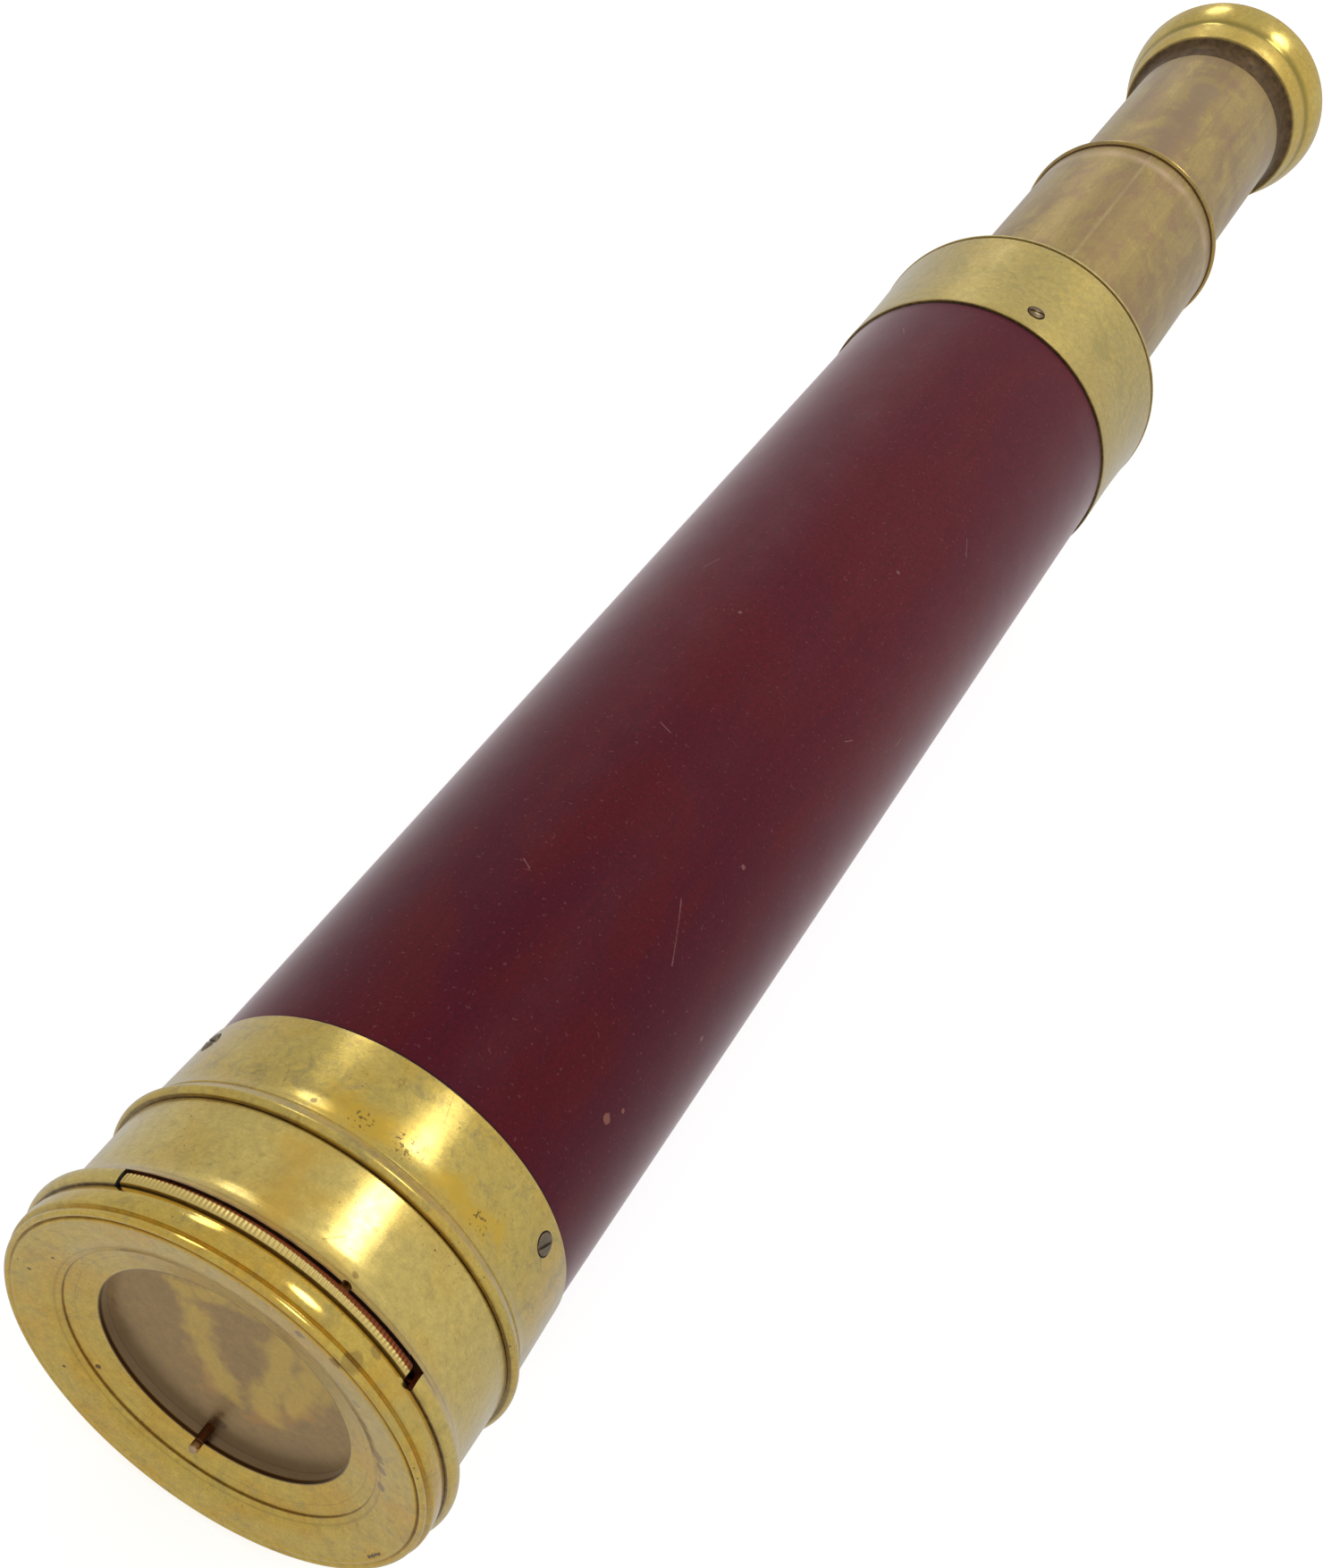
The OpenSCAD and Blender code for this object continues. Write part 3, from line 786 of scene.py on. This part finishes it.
cup_brass = polished_brass("cup_brass", [("y", cup_foot[1] + 0.05, 0.2, 0.6)],
    base=(0.79, 0.59, 0.145), deep=0.3, age=0.3, shine=0.18, haze=0.15, coat=(0.3, 0.4), gloss=[
        ("y", second_back - 0.5, cup_foot[1] - 0.2, 3.0),
        ("y", cup_foot[1] + 0.2, cup_waist[1] - 0.4, 2.2)], marks=cup_marks)
collar_brass = polished_brass("collar_brass", [
    ("y", collar_front, 0.22, 0.95), ("y", collar_bead - 0.17, 0.16, 0.9)],
    base=(0.67, 0.515, 0.145), deep=0.1, age=0.35, shine=0.44, haze=0.6, marks=collar_marks)
first_brass = drawn_brass("first_draw_brass", first_marks)
second_brass = drawn_brass("second_draw_brass", second_marks)
screw_brass = tarnished_brass("screw_brass", (0.24, 0.19, 0.135))
bright_point_screw_brass = tarnished_brass("bright_point_screw_brass", (0.24, 0.17, 0.09), bright_head_point)
pin_brass = tarnished_brass("pin_brass", (0.54, 0.37, 0.21), pin_marks, rough=(0.20, 0.30))
plate_brass = tarnished_brass("plate_brass", (0.47, 0.315, 0.145), plate_marks)
wood = mahogany("mahogany_wood")
black = blackened_brass("blackened_metal")
glass = optical_glass("optical_glass")


# Objective end

def bezel():
    """The face bevelled to the aperture, a thin bead outside a groove, and the wide rounded lip."""
    bevel = []
    for a in range(85, -1, -5):
        # The points crowd towards the aperture, which keeps its edge crisp
        share = math.sin(math.radians(a))
        depth = bevel_depth * (1 - share)
        bevel.append((step_r - (step_r - aperture_r) * share, aperture_edge - depth))
    spigot_end = plate_front - 0.015
    outline = [(spigot_r, bezel_back), (spigot_r, spigot_end), (aperture_r, spigot_end),
               (aperture_r, aperture_edge, 0.12), *bevel, (step_r, step_back, 0.04), (*face_bend, 1.4),
               (face_r - 0.6, 0.12, 0.12), (face_r - 0.5, 0, 0.08), (face_r, 0, 0.06),
               (face_r + 0.08, 0.3), (face_r + 0.18, 0.3)]
    outline += arc((face_r + 0.7, 0.5), 0.5, -150, -30, 10)
    outline += [(lip_r - 0.45, 0.5, 0.3), (lip_r - 0.59, 1.14, 0.1), (lip_r - 0.6, 1.2, 0.03),
                (lip_r - 0.2, 1.3, 0.2)]
    outline += arc((lip_r - lip_curve[0], lip_curve[1]), lip_curve[0], -6, 17, 12)
    outline += [(lip_r - 0.35, bezel_back - 0.04, 0.06), (lip_r - 0.4, bezel_back)]
    piece = solid("bezel", turned(outline))
    dress(piece, bezel_brass, "barrel", "front_bezel")


def shutter_outline(half, top, steps):
    """The shutter's outline in X and Z: round below, straight at the sides and arched above."""
    reach = math.degrees(math.asin(half / top))
    below = arc((0, 0), half, 180, 360, round_steps)
    return below + arc((0, 0), top, 90 - reach, 90 + reach, steps)


def housing():
    """The flange and cap round the shutter, with the slot, its wider end and a notch in its edge."""
    recess_r = spigot_r + 0.02
    web_r = aperture_r + 0.2
    outline = [(web_r, recess_front), (recess_r, recess_front), (recess_r, bezel_back),
               (lip_r - 0.25, bezel_back, 0.05)]
    outline += arc((flange_r - flange_curve, flange_y), flange_curve, -45, 45, 14)
    outline += [(flange_r - 0.9, flange_y + flange_curve, 0.15), (cap_r + 0.7, 8, 0.3),
                (cap_r + 0.25, 9, 0.5), (cap_r, 10.5, 0.6), (cap_r - 0.05, cap_back - 0.2, 0.1),
                (cap_r - 0.15, cap_back, 0.05), (skirt_r, cap_back), (skirt_r, web_back),
                (web_r, web_back)]
    piece = solid("shutter_box", turned(outline))
    half = plate_half + 0.14
    shape = shutter_outline(half, 2 * flange_r, 24)
    slot = slab([(bezel_back - 1, shape), (slot_back, shape)])
    for vert in slot.verts:
        if vert.co.y > bezel_back:
            vert.co.y -= 0.25 + 0.1 * (1 - vert.co.x / half)
    wide_end = block((19, bezel_back - 1, 19.2), (slot_half + 0.55, slot_back - 0.05, 40))
    to_notch = Matrix.Rotation(math.radians(notch_angle), 4, "Y")
    to_notch = to_notch @ Matrix.Translation((0, slot_back, cap_r))
    cut(piece, slot, wide_end, moved(cylinder(notch_r, -2, 4), to_notch))
    dress(piece, cap_brass, "barrel", "shutter_housing")


def plate():
    """The shutter, whose arched edge is crowned, milled with fine ribs and rounded at its ends."""
    ribs = 71
    per_rib = 8
    rib_depth = 0.13
    milled_from = round_steps + 1
    front_crown = 0.18
    back_crown = 0.34
    corner = 0.55
    middle = (plate_front + plate_back) / 2
    half_thick = (plate_back - plate_front) / 2
    reach = math.asin(plate_half / plate_top)

    def edge(y):
        """The outline at a level, shrunk along the arch by the crown, the ribs and the ends."""
        lift = max(0.0, 1 - ((y - middle) / half_thick) ** 2)
        drop = (front_crown if y < middle else back_crown) * (1 - math.sqrt(lift))
        depth = rib_depth * math.sqrt(lift)
        points = []
        for i, (x, z) in enumerate(shutter_outline(plate_half, plate_top, ribs * per_rib)):
            if i >= milled_from:
                rib = 0.5 - 0.5 * math.cos(2 * math.pi * (i - milled_from) / per_rib)
                to_end = max(0.0, reach - abs(math.atan2(x, z))) * plate_top
                inset = corner - math.sqrt(corner ** 2 - max(0.0, corner - to_end) ** 2)
                shrink = 1 - (drop + inset + depth * (1 - rib)) / plate_top
                x, z = x * shrink, z * shrink
            points.append((x, z))
        return points

    levels = [middle - half_thick * math.cos(math.pi * i / 10) for i in range(11)]
    piece = solid("shutter", slab([(y, edge(y)) for y in levels]))
    dress(piece, plate_brass, "shutter", "shutter_plate")


def pin():
    """The pull pin: a domed tip on a stout stem, with a shallow groove under the tip."""
    drop = -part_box("shutter_pin")[0].z / MM - pin_r
    tip = front("shutter_pin")
    root = plate_back - 0.2
    outline = [(0, tip)] + arc((0, tip + pin_r), pin_r, -80, 0, 8)
    outline += [(pin_r, 1.9, 0.1), (pin_r - 0.08, 2.0, 0.05), (pin_r - 0.08, 2.15, 0.05),
                (pin_r, 2.25, 0.1), (pin_r, root), (0, root)]
    mesh = moved(turned(outline, segments=48), Matrix.Translation((0, 0, -drop)))
    dress(solid("pull_pin", mesh), pin_brass, "shutter", "shutter_pin")


def screw_holes(spec):
    """A cutter for each hole that a screw's head sits in."""
    floor = head_proud - head_thick
    return [moved(cylinder(head_hole_r, floor, 2), place) for place in around(spec)]


def screws(name, spec, material, node):
    """Three slotted screws with a slightly domed head."""
    under = head_proud - head_thick
    outline = [(0, head_proud), (head_r * 0.6, head_proud - 0.03), (head_r, head_proud - 0.18, 0.14),
               (head_r, under), (shank_r, under), (shank_r, shank_end), (0, shank_end)]
    parts = bmesh.new()
    for number, place in enumerate(around(spec)):
        screw = solid("screw", turned(outline, axis=(0, 0, 1), segments=64))
        slit = block((-2, -screw_slot / 2, head_proud - 0.32), (2, screw_slot / 2, 2))
        cut(screw, slit)
        screw.data.transform(Matrix.Scale(1 / MM, 4))
        screw.data.transform(place @ Matrix.Rotation(math.radians(spec["turn"] + 47 * number), 4, "Z"))
        parts.from_mesh(screw.data)
        bpy.data.objects.remove(screw)
    dress(solid(name, parts), material, "barrel", node)


def ferrule():
    """The ring behind the cap: a bead, a soft waist, the rebate for the wood and an inner web."""
    outline = [(ferrule_thread_r, ferrule_front), (skirt_r, ferrule_front), (skirt_r, cap_back),
               (bead_r - 1.1, cap_back + 0.03)]
    outline += arc((bead_r - ferrule_bead, cap_back + 0.83), ferrule_bead, -80, 40, 14)
    outline += [(bead_r - 0.95, 23.62, 0.1), (bead_r - 1.0, 23.78), (bead_r - 0.92, 23.9, 0.08),
                (29.45, 25, 0.5), (29.25, 26.5, 0.6), (ferrule_back_r, ferrule_back - 0.2, 0.1),
                (ferrule_back_r - 0.2, ferrule_back, 0.1), (rebate_front_r, ferrule_back),
                (rebate_front_r, wood_front), (ferrule_web_r, wood_front),
                (ferrule_web_r, ferrule_web_front), (ferrule_thread_r, ferrule_web_front)]
    piece = cut(solid("ferrule", turned(outline)), *screw_holes(ferrule_screws))
    dress(piece, ferrule_brass, "barrel", "objective_ferrule")


# Barrel

def barrel():
    """The tapered wooden tube, stepped at each end to sit in the brass."""
    outline = [(wood_bore_r, wood_front), (rebate_front_r, wood_front), (rebate_front_r, ferrule_back),
               (wood_front_r, ferrule_back), (wood_rear_r, collar_front), (rebate_rear_r, collar_front),
               (rebate_rear_r, wood_back), (wood_bore_r, wood_back)]
    dress(solid("wooden_barrel", turned(outline)), wood, "barrel", "barrel")


def collar():
    """The rear ring, which flares to a groove and a thin bead at its end."""
    groove_r = 28.88
    outline = [(rebate_rear_r, collar_front), (collar_r - 0.17, collar_front, 0.06),
               (collar_r, collar_front + 0.4, 0.15), (collar_r, 256, 2), (28.75, 262, 2),
               (28.95, 267, 1.5), (collar_flare_r, 270.5, 0.12), (groove_r, 270.8), (groove_r, 270.98),
               (collar_end_r, collar_bead, 0.1), (collar_end_r, 271.5, 0.2),
               (collar_end_r - 0.4, collar_back, 0.15), (bush_r, collar_back), (bush_r, wood_back),
               (rebate_rear_r, wood_back)]
    piece = cut(solid("collar", turned(outline)), *screw_holes(collar_screws))
    dress(piece, collar_brass, "barrel", "rear_collar")


# Draws

def draw_tube(name, body, node, outer, material):
    """A plain thin tube with its front edges softened."""
    bore = outer - tube_wall
    start = front(node)
    end = back(node)
    outline = [(bore, start, 0.1), (outer, start, 0.1), (outer, end), (bore, end)]
    dress(solid(name, turned(outline)), material, body, node)


def end_ring():
    """The rounded bead on the end of the first draw, with its inner sleeve."""
    y = first_back
    bore = second_r + running_gap
    sleeve_r = first_r - tube_wall
    outline = [(bore, ring_seat), (sleeve_r, ring_seat), (sleeve_r, y), (first_r + 0.3, y)]
    outline += arc((end_ring_r - ring_bead, y + 0.95), ring_bead, -70, 80, 14)
    outline += [(second_r + 0.4, y + 1.9, 0.15), (bore, y + 1.5, 0.1)]
    piece = solid("draw_end_ring", turned(outline))
    dress(piece, ring_brass, "first_draw", "first_draw_end_ring")


def stud_slot():
    """The curved slot that the shutter's stud swings in, with round ends."""
    pivot = (-swing_arm, 0)
    ends = [(-swing_arm + stud_arm * math.cos(math.radians(a)), stud_arm * math.sin(math.radians(a)))
            for a in (0, swing_angle)]
    outline = arc(pivot, stud_arm + stud_slot_half, 0, swing_angle, 24)
    outline += arc(ends[1], stud_slot_half, swing_angle, swing_angle + 180, 12)[1:-1]
    outline += arc(pivot, stud_arm - stud_slot_half, swing_angle, 0, 24)
    outline += arc(ends[0], stud_slot_half, 180, 360, 12)[1:-1]
    return slab([(cup_hub[1] - 0.5, outline), (cup_back + 0.5, outline)])


def stud():
    """The small knobbed stud that swings the eye shutter."""
    size = (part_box("eye_shutter_stud")[1].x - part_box("eye_shutter_stud")[0].x) / MM / 2
    low = front("eye_shutter_stud")
    top = back("eye_shutter_stud")
    outline = [(0, low), (size, low), (size, top - 1.6, 0.1), (size - 0.15, top - 1.4, 0.1),
               (size - 0.15, top - 1.1, 0.1), (size, top - 0.9, 0.1)]
    outline += arc((0, top - size), size, 0, 80, 8) + [(0, top)]
    place = Matrix.Translation((stud_arm - swing_arm, 0, 0))
    piece = solid("shutter_stud", moved(turned(outline, segments=32), place))
    dress(piece, pin_brass, "eye_shutter", "eye_shutter_stud")


def draw_bush():
    """The slit bush that the first draw slides in."""
    low = front("draw_bush")
    inner = first_r + running_gap
    outline = [(inner, low, 0.2), (bush_r, low, 0.2), (bush_r, collar_back - 0.05, 0.15),
               (inner, collar_back - 0.05, 0.25)]
    slits = [moved(block((-bush_r - 1, low - 1, -0.4), (bush_r + 1, low + bush_slit_length, 0.4)),
                   Matrix.Rotation(math.radians(angle), 4, "Y")) for angle in (45, 135)]
    piece = cut(solid("slit_bush", turned(outline)), *slits)
    dress(piece, first_brass, "barrel", "draw_bush")


def lens(name, body, node, edge, vertex, curves):
    """A lens with spherical faces; a positive curve opens towards +Y and 0 is flat."""
    def face(start, curve):
        """The face's points from the axis to the edge."""
        points = []
        for i in range(41):
            r = edge * i / 40
            depth = abs(curve) - math.sqrt(curve ** 2 - r ** 2) if curve else 0
            points.append((r, start + math.copysign(depth, curve)))
        return points

    outline = face(vertex, curves[0]) + face(back(node), curves[1])[::-1]
    piece = solid(name, turned(outline, segments=128))
    dress(piece, glass, body, node)


def eye_cup():
    """The flared cup over the eyepiece, dished behind, with a curved slot for the shutter's stud."""
    def dish(r):
        """The point of the dished back at a radius."""
        return (r, cup_back - dish_depth * (1 - (r / cup_mouth_r) ** 2))

    width = cup_foot[0] - second_r - 0.1
    height = cup_foot[1] - second_back - 0.2
    cove = []
    for a in range(10, 91, 8):
        turn = math.radians(a)
        cove.append((cup_foot[0] - width * math.cos(turn), second_back + height * math.sin(turn)))
    flare = arc((cup_r - cup_flare[0], cup_flare[1]), cup_flare[0], -24.2, -4.6, 14)
    dished = [dish(cup_mouth_r * i / 24) for i in range(23, 4, -1)]
    outline = [cup_hub, (cup_hub[0], second_back), (second_r, second_back), *cove, (*cup_foot, 0.06),
               (21.1, 405.5, 1.5), (*cup_waist, 1.6), *flare, (cup_r, 416.5, 0.3),
               (cup_r - 0.25, 417.4, 0.35), (22.8, 417.95, 0.3), (22.1, cup_back, 0.3),
               (cup_mouth_r, cup_back, 0.25), *dished, (*dish(eye_hole_r), 0.15),
               (eye_hole_r, cup_hub[1], 0.1)]
    piece = cut(solid("eyepiece_cup", turned(outline)), stud_slot())
    dress(piece, cup_brass, "second_draw", "eye_cup")


bezel()
housing()
plate()
pin()
ferrule()
screws("ferrule_screw_set", ferrule_screws, screw_brass, "ferrule_screws")
barrel()
collar()
screws("collar_screw_set", collar_screws, bright_point_screw_brass, "collar_screws")
draw_tube("first_tube", "first_draw", "first_draw_tube", first_r, first_brass)
end_ring()
draw_tube("second_tube", "second_draw", "second_draw_tube", second_r, second_brass)
eye_cup()
stud()
draw_bush()
lens("crown_glass", "barrel", "crown_lens", lens_r, front("crown_lens"), crown_curves)
lens("flint_glass", "barrel", "flint_lens", lens_r, back("crown_lens") + lens_air, flint_curves)
lens("eye_glass", "second_draw", "eye_lens", eye_lens_r, front("eye_lens"), eye_lens_curves)

# The CAD pieces that stay: a material for each, by its slot in the record
KEPT = {"glass": glass, "blackened_brass": black, "dull_brass": first_brass,
        "tarnished_brass": screw_brass, "brass": cap_brass, "mahogany": wood}
for part in frame["record"]["subparts"]:
    kept_node = frame["nodes"][part["node"]]
    if not kept_node.hide_render:
        cover(kept_node, KEPT[part["material_slot"]])


# Camera, floor and light

camera_place = (0.11872, -0.11603, 0.23362)
camera_turn = 28.0
camera_tilt = 41.59
lying_roll = -18.3
floor_size = 4000
backdrop_size = 3900
table_drop = 0.5
tent_left = 0.49
tent_right = 0.60


def place_camera():
    """A camera that looks down on the objective from the right of the lying telescope."""
    data = bpy.data.cameras.new("camera")
    data.lens = 51.99
    data.sensor_width = 36
    data.shift_x = 0.02366
    data.shift_y = 0.02349
    data.clip_start = 0.01
    data.clip_end = 20
    camera = bpy.data.objects.new("camera", data)
    upright = Matrix.Translation(camera_place)
    upright = upright @ Matrix.Rotation(math.radians(camera_turn), 4, "Z")
    upright = upright @ Matrix.Rotation(math.radians(90 - camera_tilt), 4, "X")
    camera.matrix_world = Matrix.Rotation(math.radians(lying_roll), 4, "Y") @ upright
    bpy.context.scene.collection.objects.link(camera)
    bpy.context.scene.camera = camera


def paint(name, grey, change, glow, ior):
    """An even grey that glows, with a faint cloudy change of tone."""
    s = Shader(name, IOR=ior, Emission_Color=(1, 1, 1, 1), Emission_Strength=glow)
    return s.finish(s.shade(s.noise(60), (grey, grey, grey), 1 - change, 1 + change), 0.8)


def unseen(piece, *rays):
    """Hides a piece from some kinds of ray."""
    for ray in rays:
        setattr(piece, "visible_" + ray, False)


def disc(name, drop, material):
    """A wide disc under the two widest rings, which the telescope lies on."""
    rise = math.atan2(flange_r - collar_end_r, collar_rest - flange_y)
    mesh = bmesh.new()
    bmesh.ops.create_circle(mesh, cap_ends=True, segments=96, radius=floor_size)
    place = Matrix.Translation((0, flange_y, -flange_r - drop)) @ Matrix.Rotation(rise, 4, "X")
    piece = solid(name, moved(mesh, place))
    piece.data.materials.append(material)
    return piece


def studio():
    """A pale floor, a white backdrop, and the darker table top that the brass mirrors."""
    seen = disc("floor", 0, paint("floor_paint", 0.72, 0.01, 0.70, 1.1))
    unseen(seen, "diffuse", "glossy", "shadow")
    mirrored = disc("table_top", table_drop, paint("table_paint", 0.12, 0.03, 0.45, 1.2))
    unseen(mirrored, "camera")
    dome = bmesh.new()
    bmesh.ops.create_uvsphere(dome, u_segments=48, v_segments=24, radius=backdrop_size)
    backdrop = solid("backdrop", dome)
    backdrop.data.materials.append(paint("backdrop_paint", 0.0, 0.0, 0.93, 1.0))
    unseen(backdrop, "diffuse", "glossy", "transmission", "shadow")


def lamp(name, direction, distance, size, power):
    """A round soft lamp that looks at the telescope's middle."""
    data = bpy.data.lights.new(name, "AREA")
    data.shape = "DISK"
    data.size = size
    data.energy = power
    piece = bpy.data.objects.new(name, data)
    middle = Vector((0, 0.15, 0))
    toward = Vector(direction).normalized()
    aim = toward.to_track_quat("Z", "Y").to_matrix().to_4x4()
    piece.matrix_world = Matrix.Translation(middle + toward * distance) @ aim
    piece.visible_camera = False
    bpy.context.scene.collection.objects.link(piece)


def surroundings():
    """An even studio tent, a little darker on the left."""
    world = bpy.data.worlds.new("studio")
    bpy.context.scene.world = world
    world.use_nodes = True
    nodes = world.node_tree.nodes
    links = world.node_tree.links
    background = nodes["Background"]
    direction = nodes.new("ShaderNodeTexCoord").outputs["Generated"]
    toward_right = nodes.new("ShaderNodeVectorMath")
    toward_right.operation = "DOT_PRODUCT"
    toward_right.inputs[1].default_value = (0.95, 0, 0.31)
    ramp = nodes.new("ShaderNodeMapRange")
    links.new(direction, toward_right.inputs[0])
    links.new(toward_right.outputs["Value"], ramp.inputs["Value"])
    for socket, value in zip(ramp.inputs[1:], (-0.8, 0.5, tent_left, tent_right)):
        socket.default_value = value
    background.inputs["Color"].default_value = (1, 1, 1, 1)
    links.new(ramp.outputs[0], background.inputs["Strength"])


place_camera()
studio()
surroundings()
lamp("key_lamp", (0.224, 0.508, 0.831), 3.5, 0.85, 10.2)
lamp("fill_lamp", (-0.545, 0.725, 0.44), 3.5, 0.75, 4.3)
bpy.context.scene.view_settings.view_transform = "Standard"
